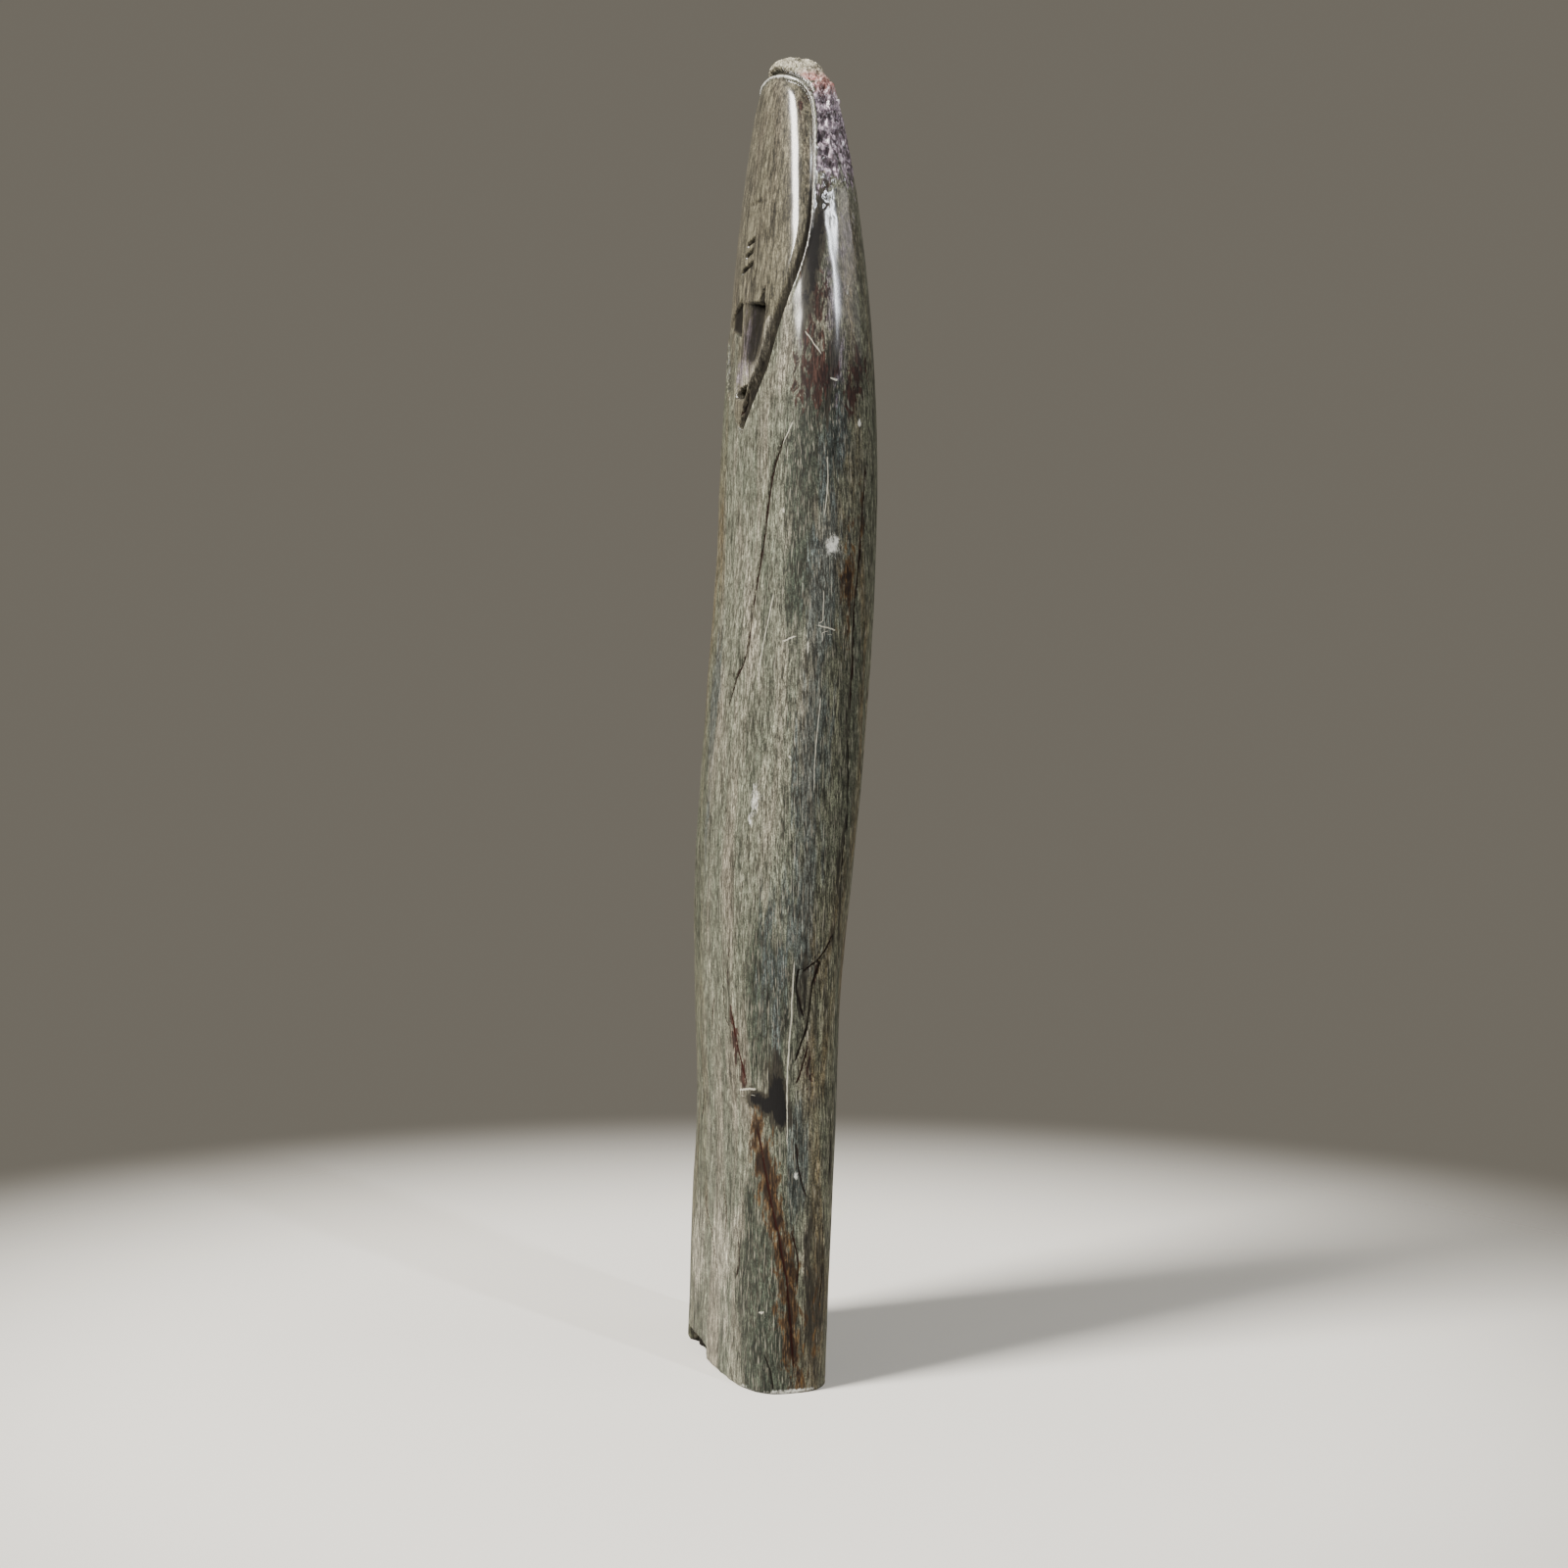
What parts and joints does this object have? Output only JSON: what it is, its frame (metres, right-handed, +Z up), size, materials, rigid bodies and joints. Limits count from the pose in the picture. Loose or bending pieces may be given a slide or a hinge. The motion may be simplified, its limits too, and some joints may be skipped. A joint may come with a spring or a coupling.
{
  "type": "carved standing stone figure",
  "caption": "Tall flattened stone carving on its own sawn foot, with a smooth face panel set off by a groove and a rough crown.",
  "frame": {"origin": "centre of the foot, on the surface the figure stands on", "axes": "+Z up the figure's length, -Y out of the carved face, +X to the figure's left side"},
  "size_m": [0.067, 0.0398, 0.327],
  "materials": {
    "polished_stone": "hand polished and waxed grey-green stone with a fibrous grain, brown and purple stains and a rough crown"
  },
  "bodies": {
    "root": {"carved_figure": "polished_stone"}
  },
  "joints": []
}
